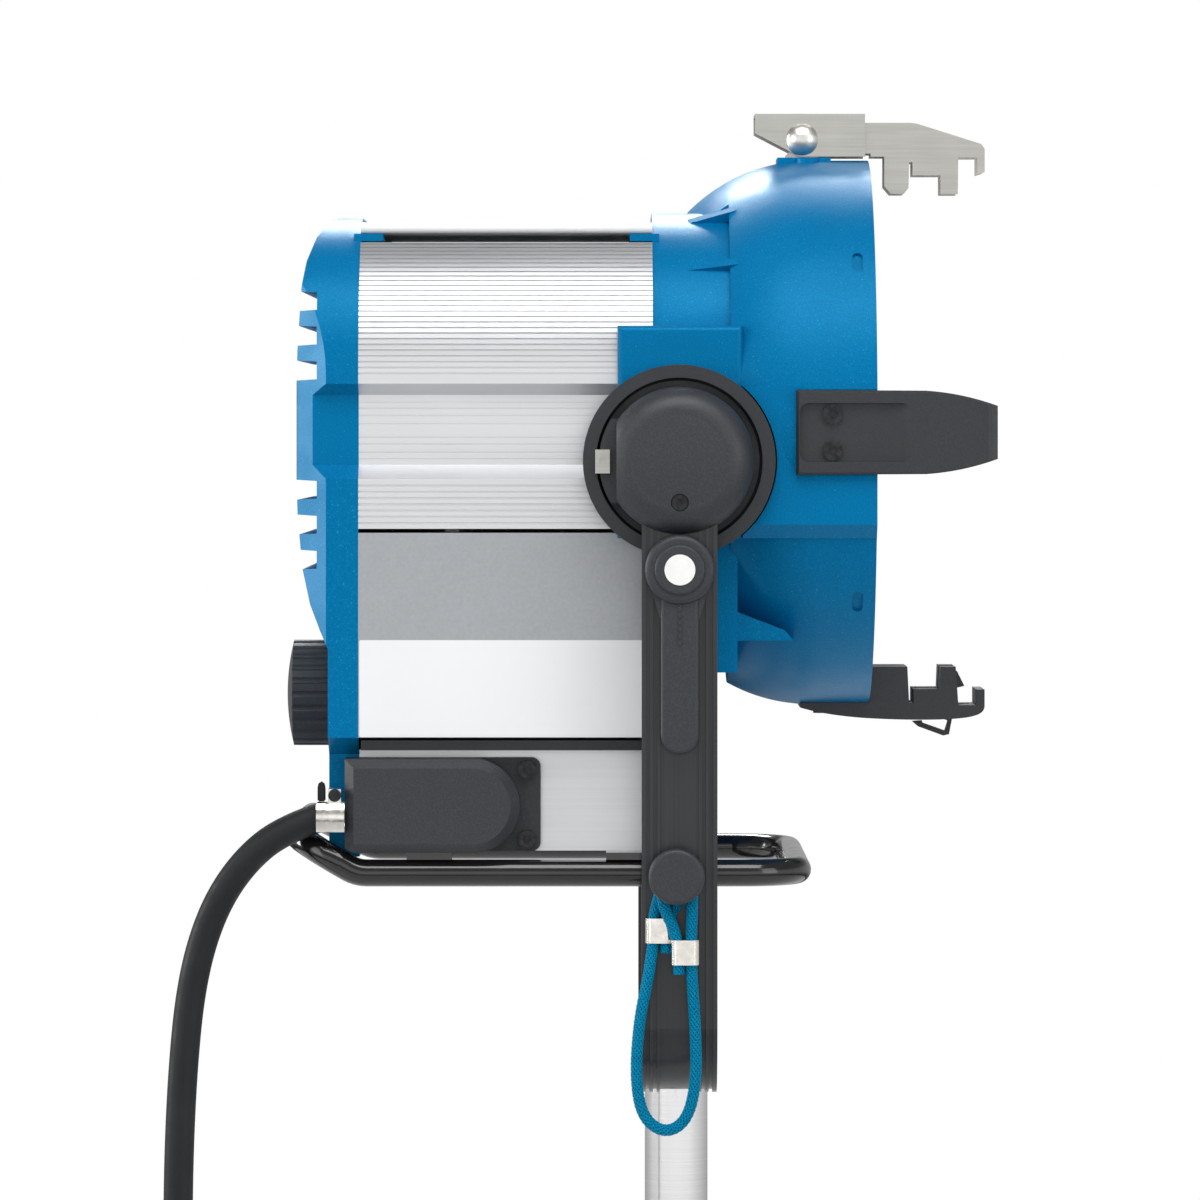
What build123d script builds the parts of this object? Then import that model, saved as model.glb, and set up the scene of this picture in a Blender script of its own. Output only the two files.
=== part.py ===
from build123d import *
import os
from math import cos, degrees, radians, sin, sqrt, tan

# Studio spotlight head on its yoke.  Millimetres, +Z up, +X towards the front of the lamp.
# The origin is on the spigot's axis, where the spigot enters the stand's receiver.
# The lamp's right-hand side is -Y, its left-hand side is +Y.

# ---------------------------------------------------------------- driving dimensions
OPTIC_Z = 303.0            # height of the optical axis
TILT_Z = 290.5             # height of the tilt axis, at X = 0
TILT_REL = TILT_Z - OPTIC_Z

BODY_BACK = -141.3         # rear ends of the side profiles
REAR_FACE = -154.7         # outer face of the rear cap's foot
BODY_FRONT = -11.4         # front ends of the side profiles
BODY_HALF = 105.0          # half width of the lamp house
PANEL_TOP = -44.3
PANEL_BOTTOM = -134.6
FOOT_HALF = 89.0           # half width of the electrical compartment
FOOT_TOP = PANEL_BOTTOM - 8
CAP_BOTTOM = -188.0        # lowest edge of the rear cap
TRAY_BOTTOM = -185.3       # underside of the electrical compartment
TRAY_WALL = 2.5

BELL_RIM_X = 87.0
BELL_R = 123.8             # outer radius of the front bell
BELL_WALL = 3.0
BELL_STRAIGHT_X = 61.1     # the bell is cylindrical in front of this
BELL_ARC_R = 78.2          # radius of the bell's shoulder
BELL_BACK_X = 23.0
COLLAR_HALF = 101.2
COLLAR_BOTTOM = -106.0

YOKE_WIDTH = 33.0
YOKE_THICK = 12.0
YOKE_INSIDE = 129.0        # half the gap between the yoke's arms
YOKE_MID = YOKE_INSIDE + YOKE_THICK / 2
YOKE_OUTSIDE = YOKE_INSIDE + YOKE_THICK
CROSS_BOTTOM = 13.0        # underside of the yoke's cross-piece
YOKE_BEND_R = 24.0         # bend of the yoke's centre line

SPIGOT_R = 14.3            # 28.6 mm, a 1-1/8 inch spigot
SPIGOT_BOTTOM = -62.0

DISC_R = 42.2
DISC_BACK = 114.0          # the brake disc bolts to the side block here
DISC_FACE = 128.0
DISC_RECESS_R = 36.5
DISC_FLOOR = 121.0
COVER_R = 32.4
PIVOT_R = 6.0
RUNNING = 0.05             # radial clearance of a shaft in its bore

LEVER_Z = 243.3
LEVER_LENGTH = 80.3        # from the lever's axis to its tip
LEVER_WIDTH = 16.6
LEVER_HEAD_R = 15.2

SEAT_Y = 121.6             # the side brackets are let into the bell to this plane
BRACKET_OUT = 126.2        # outer face of the side brackets
BRACKET_HALF = 18.6        # half height of the side brackets

KNOB_REL = -118.5          # focus knob, from the optical axis
KNOB_R = 24.0
KNOB_FRONT_X = REAR_FACE - 0.7
KNOB_BACK_X = -177.0
SHAFT_R = 5.0

LATCH_X = 57.0
LATCH_REL = 132.9
CATCH_X = 123.5
CATCH_REL = -125.0

STRAP_POST_X = -1.5
STRAP_POST_Z = 110.1

CABLE_D = 13.0
GLAND_Y = -103.5
GLAND_REL = -169.6
COVER_SCREWS = [(-67.0, -149.0), (-67.0, -180.0)]

ROPE_D = 5.0
SKID_TUBE_R = 6.0
SKID_HALF = 100.0
SKID_REL = -194.5
STRAP_X = (-110, -22)      # the cross straps of the skid

ROD_Y = 35.0               # guide rods of the lamp carriage
ROD_REL = -48.0
ROD_R = 4.0

# Route of the head cable, from inside the gland to the in-line connector.
CABLE_ROUTE = [
    (-156.0, -103.5, 134.0),
    (-174.5, -103.5, 128.0),
    (-192.5, -103.5, 113.0),
    (-206.0, -103.5, 91.5),
    (-214.8, -103.8, 61.5),
    (-219.0, -104.5, 19.5),
    (-221.0, -105.0, -35.0),
    (-220.4, -104.0, -110.0),
    (-222.0, -102.8, -195.0),
    (-221.0, -103.5, -270.0),
    (-221.0, -103.5, -336.0),
]

# Route of the braided strap: up through the lower ferrule, round the post, down into the
# hanging loop, up to the upper ferrule, round the post again and back to the upper ferrule.
STRAP_ROUTE = [
    (-0.4, -149.0, 67.5),
    (-0.4, -149.0, 84.0),
    (-8.2, -149.6, 98.0),
    (-8.2, -149.8, 116.8),
    (5.2, -149.8, 116.8),
    (5.6, -149.6, 99.0),
    (4.9, -149.0, 84.0),
    (5.0, -148.8, 70.0),
    (6.6, -148.4, 47.0),
    (7.4, -148.2, 22.0),
    (3.5, -148.2, 4.0),
    (-6.2, -148.0, -2.0),
    (-16.4, -148.0, 5.0),
    (-19.4, -148.0, 23.0),
    (-17.6, -147.6, 48.0),
    (-13.6, -146.4, 66.0),
    (-11.4, -145.0, 82.0),
    (-11.4, -144.8, 93.0),
    (-8.2, -144.2, 103.0),
    (-8.2, -144.0, 116.8),
    (5.2, -144.0, 116.8),
    (5.2, -144.2, 103.5),
    (-6.1, -144.8, 93.0),
    (-6.1, -145.0, 76.5),
]

os.makedirs("parts", exist_ok=True)


# ---------------------------------------------------------------- helpers
def polygon(*points):
    return make_face(Polyline(*points, close=True))


def along_x(sketch, x0, x1):
    """A (Y, Z) sketch, as a solid from x0 to x1."""
    return extrude(Plane.YZ.offset(x0) * sketch, amount=x1 - x0)


def along_y(sketch, y0, y1):
    """An (X, Z) sketch, as a solid from y0 to y1."""
    return extrude(Plane.XZ.offset(-y1) * sketch, amount=y1 - y0)


def along_z(sketch, z0, z1):
    """An (X, Y) sketch, as a solid from z0 to z1."""
    return extrude(Plane.XY.offset(z0) * sketch, amount=z1 - z0)


def block(x0, x1, y0, y1, z0, z1):
    centre = ((x0 + x1) / 2, (y0 + y1) / 2, (z0 + z1) / 2)
    return Pos(*centre) * Box(x1 - x0, y1 - y0, z1 - z0)


def rod_x(radius, x0, x1, y=0.0, z=0.0):
    return along_x(Pos(y, z) * Circle(radius), x0, x1)


def rod_y(radius, y0, y1, x=0.0, z=0.0):
    return along_y(Pos(x, z) * Circle(radius), y0, y1)


def rod_z(radius, z0, z1, x=0.0, y=0.0):
    return along_z(Pos(x, y) * Circle(radius), z0, z1)


def turned(sketch):
    """An (X, radius) sketch, revolved about the optical axis."""
    return revolve(Plane.XZ * sketch, Axis.X)


def turned_y(sketch, x, z):
    """A (radius, Y) sketch, revolved about a line along Y through x, z."""
    return Pos(x, 0, z) * revolve(sketch, Axis.Y)


def turned_z(sketch, x, y):
    """A (radius, Z) sketch, revolved about a vertical line through x, y."""
    return Pos(x, y, 0) * revolve(Plane.XZ * sketch, Axis.Z)


def other_side(shape):
    return mirror(shape, about=Plane.XZ)


def both_sides(shape):
    return shape + other_side(shape)


def group(*shapes):
    return Compound(children=[solid for shape in shapes for solid in shape.solids()])


def save(name, shape):
    export_step(shape, f"parts/{name}.step")


def save_head(name, shape):
    """Head parts are drawn from the optical axis, and raised to its height here."""
    save(name, Pos(0, 0, OPTIC_Z) * shape)


def route_radii(points):
    """Each corner's arc is as large as its two runs allow."""
    radii = []
    for before, here, after in zip(points, points[1:], points[2:]):
        run_in = Vector(*here) - Vector(*before)
        run_out = Vector(*after) - Vector(*here)
        half_turn = radians(run_in.get_angle(run_out)) / 2
        radii.append(0.45 * min(run_in.length, run_out.length) / tan(half_turn))
    return radii


def cord_tube(name, points, diameter):
    radii = route_radii(points)
    path = FilletPolyline(*points, radius=radii)
    start = Plane(origin=path @ 0, z_dir=path % 0)
    tube = sweep(start * Circle(diameter / 2), path=path)
    section = Circle(diameter / 2).area
    print(name, "radii", [round(radius, 1) for radius in radii])
    print(name, "length", round(path.length, 1), "volume over section", round(tube.volume / section, 1))
    save(name, tube)


def socket_screw(x, y, z, head_r, head, shank):
    """Socket-head screw driven towards +Y from a face at y."""
    screw = rod_y(head_r, y - head, y, x, z) + rod_y(2.0, y, y + shank, x, z)
    key = along_y(Pos(x, z) * RegularPolygon(head_r * 0.5, 6), y - head - 1, y - head + 1.2)
    return screw - key


# ---------------------------------------------------------------- lamp house outline
def section(half, top, centre_z, *lower):
    """The head's cross-section, (Y, Z): recessed along each side, and ending in the lower points."""
    radius = top - centre_z
    right = [(half, 21.5), (half - 7, 16.5), (half - 7, -14.3), (half, -20.5), *lower]
    left = [(-y, z) for y, z in reversed(right)]
    sides = Polyline((half, centre_z), *right, *left, (-half, centre_z))
    arc_in = CenterArc((-half + radius, centre_z), radius, 90, 90)
    arc_out = CenterArc((half - radius, centre_z), radius, 0, 90)
    top_line = Line((-half + radius, top), (half - radius, top))
    return make_face([sides, arc_in, top_line, arc_out])


def bell_radius(x, reduce=0.0):
    """Radius of the bell's outside, or of its inside with reduce as the wall."""
    arc_r = BELL_ARC_R - reduce
    if x >= BELL_STRAIGHT_X:
        return BELL_R - reduce
    return BELL_R - BELL_ARC_R + sqrt(arc_r**2 - (BELL_STRAIGHT_X - x) ** 2)


def bell_solid(x0, x1, reduce=0.0):
    """Everything inside the bell's outer surface, or inside its wall, from x0 to x1."""
    middle = (x0 + BELL_STRAIGHT_X) / 2
    edges = [
        Line((x0, 0), (x0, bell_radius(x0, reduce))),
        ThreePointArc(
            (x0, bell_radius(x0, reduce)),
            (middle, bell_radius(middle, reduce)),
            (BELL_STRAIGHT_X, BELL_R - reduce),
        ),
        Line((BELL_STRAIGHT_X, BELL_R - reduce), (x1, BELL_R - reduce)),
        Line((x1, BELL_R - reduce), (x1, 0)),
        Line((x1, 0), (x0, 0)),
    ]
    return turned(make_face(edges))


# ---------------------------------------------------------------- front housing
def front_housing():
    """The die-cast front: bell, collar, side blocks for the pivots, ribs and pads."""
    inside = bell_solid(BELL_BACK_X - 4, BELL_RIM_X + 5, BELL_WALL)
    bell = bell_solid(BELL_BACK_X, BELL_RIM_X) - inside
    collar_outside = section(COLLAR_HALF, 98.8, 27.3, (COLLAR_HALF, COLLAR_BOTTOM))
    collar_inside = section(COLLAR_HALF - 4, 94.8, 27.3, (COLLAR_HALF - 4, COLLAR_BOTTOM + 4))
    collar = along_x(collar_outside - collar_inside, BODY_FRONT, BELL_BACK_X)
    back_outline = collar_outside + Circle(bell_radius(BELL_BACK_X))
    back_opening = collar_inside & Circle(bell_radius(BELL_BACK_X, BELL_WALL))
    back_wall = along_x(back_outline - back_opening, BELL_BACK_X, BELL_BACK_X + BELL_WALL)
    hollow = along_x(collar_inside, BODY_FRONT - 1, BELL_BACK_X)

    side = block(BODY_FRONT, 28, 98, 114, -46.5, 47) + block(-27, BODY_FRONT, 106.2, 114, -46.5, 47)
    side = fillet(side.faces().sort_by(Axis.Y)[-1].edges(), 2.5)
    boss = block(28, BELL_RIM_X, 100, 122, -46.5, 20)
    boss = chamfer(boss.faces().sort_by(Axis.Y)[-1].edges().sort_by(Axis.Z)[0], 6)
    blocks = both_sides(side + (boss - inside))

    saddle = bell_solid(5, BELL_BACK_X + 2) & block(5, BELL_BACK_X + 2, -50, 50, 90, 120)
    lower_saddle = bell_solid(5, BELL_BACK_X + 2) & block(5, BELL_BACK_X + 2, -40, 40, -120, -104)
    ribs = saddle + lower_saddle
    for angle, foot_r in ((30, 109.0), (49, 111.8), (-30, 109.0), (-49, 111.8)):
        outline = polygon((4.5, foot_r - 6), (4.5, foot_r), (26, 115.8), (30, 115.8), (30, foot_r - 6))
        ribs += Rot(angle, 0, 0) * along_y(outline, -2, 2)
    web = polygon((-5, -92), (-5, -79), (25, -79), (47, -87.5), (51, -92))
    ribs += both_sides(along_y(web, 60, 99))
    ribs = ribs - hollow - inside

    pad = block(45.8, 70, -15, 15, 118, 124.7)
    bosses = rod_z(5.3, 100, 124, 59.5, 15) + rod_z(5.3, 100, 124, 59.5, -15)
    pads = (pad + bosses) - inside
    lugs = both_sides(block(BODY_FRONT - 10, BODY_FRONT + 3, 52, 72, 85.2, 88.5))

    casting = bell + back_wall + collar + blocks + ribs + pads + lugs
    pivot_holes = rod_y(PIVOT_R + 0.1, 97, 115, 0, TILT_REL)
    seat = block(51.3, BELL_RIM_X + 2, SEAT_Y, 130, -BRACKET_HALF - 0.2, BRACKET_HALF + 0.2)
    disc_space = rod_y(DISC_R + 0.8, DISC_BACK, 130, 0, TILT_REL)
    screw_holes = [rod_y(2.1, SEAT_Y - 0.6, 125, 67.3, z) for z in (-8, 8)]
    cuts = pivot_holes + seat + disc_space + screw_holes
    casting = casting - both_sides(cuts)
    for angle in (52.7, 127.3, -52.7, -127.3):
        slot = Rot(angle, 0, 0) * along_z(Pos(79.1, 0) * SlotOverall(11, 4.5, rotation=90), 122.2, 130)
        casting -= slot
    casting -= rod_z(2.1, 121.4, 130, LATCH_X, 0)
    for x in (66, 80):
        casting -= rod_z(2.1, -130, -121.4, x, 0)
    save_head("front_housing", casting)


# ---------------------------------------------------------------- lamp house
def side_profile():
    """Grooved aluminium extrusion, (Y, Z) outline extruded along the lamp house."""
    arc_y, arc_z, arc_r, wall = 31.7, 25.3, 73.3, 5.5
    open_angle = 54
    inner_r = arc_r - wall
    tip = radians(open_angle)
    outer_tip = (arc_y + arc_r * cos(tip), arc_z + arc_r * sin(tip))
    inner_tip = (arc_y + inner_r * cos(tip), arc_z + inner_r * sin(tip))
    outer_side = Polyline(
        (BODY_HALF, arc_z), (BODY_HALF, 21.5), (BODY_HALF - 7, 16.5), (BODY_HALF - 7, -14.3),
        (BODY_HALF, -20.5), (BODY_HALF, -42.5), (BODY_HALF - wall, -42.5), (BODY_HALF - wall, -23.4),
        (BODY_HALF - 7 - wall, -16.5), (BODY_HALF - 7 - wall, 18.7), (BODY_HALF - wall, 23.6),
        (BODY_HALF - wall, arc_z),
    )
    edges = [
        outer_side,
        CenterArc((arc_y, arc_z), inner_r, 0, open_angle),
        Line(inner_tip, outer_tip),
        CenterArc((arc_y, arc_z), arc_r, 0, open_angle),
    ]
    outline = make_face(edges)
    groove_count = 27
    for number in range(groove_count):
        angle = radians(0.5 + number * 52.5 / (groove_count - 1))
        middle = (arc_y + arc_r * cos(angle), arc_z + arc_r * sin(angle))
        outline -= Pos(*middle) * Rectangle(2.4, 0.8, rotation=degrees(angle))
    for z in (13.2, 10.6, 7.4, 3.8, -2.2, -5.2, -8.8, -11.6):
        outline -= Pos(BODY_HALF - 7, z) * Rectangle(1.2, 0.5)
    for number in range(7):
        outline -= Pos(BODY_HALF, -23.5 - 2.75 * number) * Rectangle(2.4, 0.9)
    profile = along_x(outline, BODY_BACK, BODY_FRONT)
    save_head("side_profile_left", profile)
    save_head("side_profile_right", other_side(profile))


def side_panels():
    """Flat aluminium panels below the grooved profiles, with turned-in edges."""
    sheet = block(BODY_BACK, BODY_FRONT, BODY_HALF - 3, BODY_HALF, PANEL_BOTTOM, PANEL_TOP)
    upper_edge = block(BODY_BACK, BODY_FRONT, 90, BODY_HALF - 3, PANEL_TOP - 2.5, PANEL_TOP)
    lower_edge = block(BODY_BACK, BODY_FRONT, 90, BODY_HALF - 3, PANEL_BOTTOM, PANEL_BOTTOM + 2.5)
    panel = sheet + upper_edge + lower_edge
    save_head("side_panel_left", panel)
    save_head("side_panel_right", other_side(panel))


def top_cover():
    """Shallow cover over the hot-air outlet, with turned-down lips along both sides."""
    outside = Pos(0, 91.05) * RectangleRounded(143, 4.9, 2.4)
    inside = Pos(0, 89.4) * Rectangle(137, 2.6)
    cover = along_x(outside - inside, BODY_BACK, BODY_FRONT)
    rails = [block(BODY_BACK, BODY_FRONT, y - 3, y + 3, 88.6, 90.8) for y in (-40, 40)]
    save_head("top_cover", cover + rails)


def vent_baffle():
    """Black light trap under the hot-air outlet."""
    outline = polygon(
        (-70, 83), (-67, 83), (-66, 77.5), (66, 77.5), (67, 83), (70, 83), (68, 75.5), (-68, 75.5),
    )
    save_head("vent_baffle", along_x(outline, BODY_BACK + 2, BODY_FRONT - 2))


def floor_plate():
    """Black plate between the lamp house and the electrical compartment."""
    plate = block(BODY_BACK + 1, BODY_FRONT - 1, -100, 100, -140.4, -136.0)
    save_head("floor_plate", plate - rod_z(8, -145, -130, -100, 50))


def lower_front_cover():
    """Closes the front of the lower compartment, under the collar."""
    right = [
        (COLLAR_HALF, COLLAR_BOTTOM - 0.2), (COLLAR_HALF, PANEL_BOTTOM),
        (FOOT_HALF, FOOT_TOP), (FOOT_HALF, TRAY_BOTTOM),
    ]
    left = [(-y, z) for y, z in reversed(right)]
    save_head("lower_front_cover", along_x(polygon(*right, *left), BODY_FRONT, BODY_FRONT + 4))


def ignitor_housing():
    """Open-topped aluminium tray under the floor plate."""
    half, wall = FOOT_HALF, TRAY_WALL
    outside = block(BODY_BACK, BODY_FRONT, -half, half, TRAY_BOTTOM, -140.6)
    inside = block(
        BODY_BACK + wall, BODY_FRONT - wall, wall - half, half - wall, TRAY_BOTTOM + wall, -140,
    )
    tray = outside - inside
    for x in STRAP_X:
        tray -= rod_z(2.1, TRAY_BOTTOM - 1, TRAY_BOTTOM + wall + 1, x, 0)
    for x, z in COVER_SCREWS:
        tray -= rod_y(2.1, -half - 1, wall + 1 - half, x, z)
    save_head("ignitor_housing", tray)


def ignitor_module():
    core = block(-118, -40, -45, 45, TRAY_BOTTOM + TRAY_WALL, -150)
    windings = rod_z(16, -150, -146, -80, -20) + rod_z(16, -150, -146, -80, 20)
    save_head("ignitor_module", core + windings)


def rear_cap():
    """Die-cast rear: horizontal fins across the middle and a flat foot down to the knob."""
    depths = [
        (-2.1, 96.3), (1.6, 94.0), (6.2, 87.0), (10.2, 76.0), (12.2, 64.0), (14.0, 38.0), (14.6, 22.0),
        (14.6, -20.0), (14.0, -36.0), (11.8, -60.0), (8.2, -76.0), (3.4, -88.0), (0, -95.5), (0, CAP_BOTTOM),
    ]
    outline = [(REAR_FACE - depth, z) for depth, z in depths]
    wall = 4.0
    profile = along_y(polygon((BODY_BACK, 96.3), *outline, (BODY_BACK, CAP_BOTTOM)), -110, 110)
    outside = section(
        BODY_HALF, 96.3, 25.3, (BODY_HALF, PANEL_BOTTOM), (FOOT_HALF, FOOT_TOP), (FOOT_HALF, CAP_BOTTOM)
    )
    across = along_x(outside, REAR_FACE - 18, BODY_BACK)
    corner = REAR_FACE - 14
    crown = REAR_FACE - 17.4
    plan = polygon(
        (REAR_FACE, -106), (corner, -90), (crown, -70), (crown, 70), (corner, 90), (REAR_FACE, 106),
        (BODY_BACK, 106), (BODY_BACK, -106),
    )
    cap = profile & across & along_z(plan, -190, 100)
    gap_floor = REAR_FACE - 5.1
    for z in (58.1, 42.8, 27.4, -25.4, -40.8, -56.3):
        gap = polygon((-180, z - 5.0), (gap_floor, z - 3.9), (gap_floor, z + 3.9), (-180, z + 5.0))
        cap -= along_y(gap, -110, 110)
    cavity = section(
        BODY_HALF - wall, 96.3 - wall, 25.3, (BODY_HALF - wall, PANEL_BOTTOM),
        (FOOT_HALF - wall, FOOT_TOP), (FOOT_HALF - wall, CAP_BOTTOM + wall),
    )
    cap -= along_x(cavity, REAR_FACE + 3.4, BODY_BACK + 1)
    cap -= along_x(cavity & Pos(0, 4) * Rectangle(170, 150), REAR_FACE - 1.6, REAR_FACE + 4.6)
    cap += both_sides(block(BODY_BACK - 3, BODY_BACK + 10, 52, 72, 85.2, 88.5))
    cap -= rod_x(9, REAR_FACE - 1, REAR_FACE + 5, 0, KNOB_REL)
    save_head("rear_cap", cap)


# ---------------------------------------------------------------- optics
def reflector():
    """Deep polished bowl behind the lens, with a rolled rim."""
    depth, throat = 70.0, 24.0
    outer = [(-8 + depth * k / 8, throat + (107.0 - throat) * sqrt(k / 8)) for k in range(9)]
    inner = [(x + 1.6, r - 1.6) for x, r in outer]
    edges = [Spline(*outer), Line(outer[-1], inner[-1]), Spline(*inner), Line(inner[0], outer[0])]
    bowl = turned(make_face(edges))
    rim = turned(polygon((62, 106.4), (62, 117.0), (64, 117.0), (64, 106.4)))
    save_head("reflector", bowl + rim)


def lens_parts():
    """Holder, gasket, stepped lens and retaining ring, all turned about the optical axis."""
    holder = polygon(
        (60, 117.2), (60, 120.6), (84, 120.6), (84, 117.2), (75, 117.2), (75, 108), (72, 108), (72, 117.2),
    )
    save_head("lens_holder", turned(holder))
    save_head("lens_gasket", turned(polygon((75, 109), (75, 117.0), (76.5, 117.0), (76.5, 109))))
    back, face, edge_r = 76.5, 79.5, 117.0
    steps = [(back, 0), (back, edge_r), (face, edge_r), (face, 108.0)]
    ring = 9.0
    for number in range(11):
        outer_r = 108.0 - ring * number
        inner_r = outer_r - ring
        rise = 0.8 + 2.4 * outer_r / 108.0
        steps.append((face + rise, inner_r))
        if inner_r > ring:
            steps.append((face, inner_r))
    steps.append((face + 1.6, 0))
    save_head("fresnel_lens", turned(polygon(*steps)))
    ring_outline = polygon((79.5, 110), (79.5, 117.0), (82.5, 117.0), (82.5, 110))
    save_head("lens_retaining_ring", turned(ring_outline))


# ---------------------------------------------------------------- focus drive and lamp
def focus_drive():
    """Knob and shaft at the rear; the shaft's thread moves the lamp carriage."""
    crown_r = 97.0
    knob = rod_x(KNOB_R, KNOB_BACK_X, KNOB_FRONT_X, 0, KNOB_REL)
    knob = knob & Pos(KNOB_BACK_X + crown_r, 0, KNOB_REL) * Sphere(crown_r)
    for number in range(24):
        angle = radians(number * 15)
        y = (KNOB_R + 1.1) * cos(angle)
        z = KNOB_REL + (KNOB_R + 1.1) * sin(angle)
        knob -= rod_x(1.9, KNOB_BACK_X + 2.5, KNOB_FRONT_X - 2, y, z)
    knob -= rod_x(SHAFT_R, KNOB_BACK_X + 6, KNOB_FRONT_X + 1, 0, KNOB_REL)
    save_head("focus_knob", knob)
    shaft = rod_x(SHAFT_R, KNOB_BACK_X + 6, -40, 0, KNOB_REL)
    save_head("focus_shaft", shaft)

    bore = SHAFT_R + RUNNING
    rear_bush = rod_x(9, REAR_FACE, REAR_FACE + 8.6, 0, KNOB_REL)
    rear_bush -= rod_x(bore, REAR_FACE - 1, REAR_FACE + 9.6, 0, KNOB_REL)
    post = block(-48, -40, -12, 12, -136, KNOB_REL + 10) - rod_x(bore, -49, -39, 0, KNOB_REL)
    save_head("shaft_bushes", group(rear_bush, post))
    rods = [rod_x(ROD_R, REAR_FACE - 1.6, -12, y, ROD_REL) for y in (-ROD_Y, ROD_Y)]
    frame = block(-18, -12.4, -60, 60, -136, ROD_REL + 7) - block(-19, -11, -50, 50, -137, ROD_REL - 7)
    save_head("guide_rods", group(*rods, frame - rods))


def lamp():
    """Carriage on two rods, with the socket and a single-ended discharge lamp."""
    plate = block(-104, -98, -52, 52, -58, 24) + block(-104, -98, -14, 14, -132, -58)
    plate += rod_x(10, -112, -98, 0, KNOB_REL)
    plate -= rod_x(SHAFT_R + 0.3, -113, -97, 0, KNOB_REL)
    for y in (-ROD_Y, ROD_Y):
        plate += rod_x(8, -112, -92, y, ROD_REL)
        plate -= rod_x(ROD_R + RUNNING, -113, -91, y, ROD_REL)
    save_head("lamp_carriage", plate)
    socket = rod_x(19, -98, -76)
    for y in (-11, 11):
        socket -= rod_x(3.2, -92, -75, y, 0)
    save_head("lamp_socket", socket)
    base = rod_x(15, -76, -52) + rod_x(3.2, -90, -76, 11, 0) + rod_x(3.2, -90, -76, -11, 0)
    save_head("lamp_base", base)
    save_head("lamp_envelope", rod_x(9, -52, -16) + Pos(-16, 0, 0) * Sphere(9))


# ---------------------------------------------------------------- cable entry and skid
def connection_cover():
    """Black cover of the cable entry, on the right-hand side of the lower compartment."""
    back_x, nose_x, nose_z, nose_r = -147.2, -90.8, TRAY_BOTTOM + 20.7, 20.7
    raised = Pos((back_x + nose_x) / 2, nose_z) * Rectangle(nose_x - back_x, 2 * nose_r)
    raised += Pos(nose_x, nose_z) * Circle(nose_r)
    body = along_y(raised, -111, -89.2)
    body = chamfer(body.faces().sort_by(Axis.Y)[0].edges(), 4)
    flange_plan = Pos(-96, nose_z) * RectangleRounded(70, 2 * nose_r, 4)
    body += along_y(flange_plan, -93.2, -89.2)
    body -= along_y(Pos(-116, nose_z) * Rectangle(54, 33), -107, -88)
    body -= along_y(polygon((-150, -181.5), (-150, -188), (-139, -188)), -112, -88)
    for x, z in COVER_SCREWS:
        body -= rod_y(2.1, -95, -89, x, z)
    save_head("connection_cover", body)


def cable_gland():
    """Split clamp: two jaws beside the cable, and the ear that its screw pulls on."""
    y, z = GLAND_Y, GLAND_REL
    clamp = rod_x(9.8, -159.6, -155.4, y, z) + rod_x(9.0, -155.4, -154, y, z)
    clamp += rod_x(9.8, -154, -147.2, y, z)
    clamp = clamp & block(-160, -147, y - 12, y + 12, z - 6.3, z + 6.3)
    clamp += block(-154.5, -148.8, y - 5.5, y + 5.5, z + 6.0, z + 12.5)
    clamp -= rod_x(CABLE_D / 2 + 0.9, -161, -147, y, z)
    clamp -= rod_y(1.6, y - 6, y + 6, -151.5, z + 9.8)
    save_head("cable_gland", clamp)


def case_screws():
    """Screws of the cable entry, the clamp, the skid's straps and the latch base."""
    screws = [socket_screw(x, -93.2, z, 3.9, 3.2, 6) for x, z in COVER_SCREWS]
    y, z = GLAND_Y, GLAND_REL + 9.8
    screws.append(rod_y(1.5, y - 5.5, y + 7, -151.5, z) + rod_y(2.8, y - 7.7, y - 5.5, -151.5, z))
    for x in STRAP_X:
        shank = rod_z(2.0, -188.5, TRAY_BOTTOM + TRAY_WALL, x, 0)
        screws.append(shank + rod_z(4.5, -190.5, -188.5, x, 0))
    screws.append(rod_z(4.0, 126.2, 128.0, LATCH_X, 0) + rod_z(2.0, 121.6, 126.2, LATCH_X, 0))
    save_head("case_screws", group(*screws))


def skid_frame():
    """Closed tube loop on which the head is set down, raised at the rear."""
    front_x, bend_x, back_x, back_rel = 53.3, -142.0, -168.8, -179.0
    points = []
    for y in (SKID_HALF, -SKID_HALF):
        rail = [(back_x, y, back_rel), (bend_x, y, SKID_REL), (front_x, y, SKID_REL)]
        points += rail[::-1] if y < 0 else rail
    path = FilletPolyline(*points, radius=[22, 16, 26, 26, 16, 22], close=True)
    start = Plane(origin=path @ 0, z_dir=path % 0)
    frame = sweep(start * Circle(SKID_TUBE_R), path=path)
    save_head("skid_frame", frame)
    straps = [block(x - 10, x + 10, -104, 104, SKID_REL + SKID_TUBE_R, TRAY_BOTTOM) for x in STRAP_X]
    straps = [strap - rod_z(2.1, -190, -184, x, 0) for strap, x in zip(straps, STRAP_X)]
    save_head("skid_straps", group(*straps))


# ---------------------------------------------------------------- accessory holders
def claw_inside(floor_level, step, post):
    """Inner side of an accessory holder, (X, radius), from its hook back to the bell."""
    return [
        (139.6, step + 0.2), (135.9, step + 0.2), (135.9, floor_level), (127.7, floor_level), (126.5, post),
        (119.6, post), (119.2, step), (107.4, step), (107.4, floor_level - 1), (105.4, floor_level - 1),
        (104.6, post), (BELL_RIM_X + 0.4, post),
    ]


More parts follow.
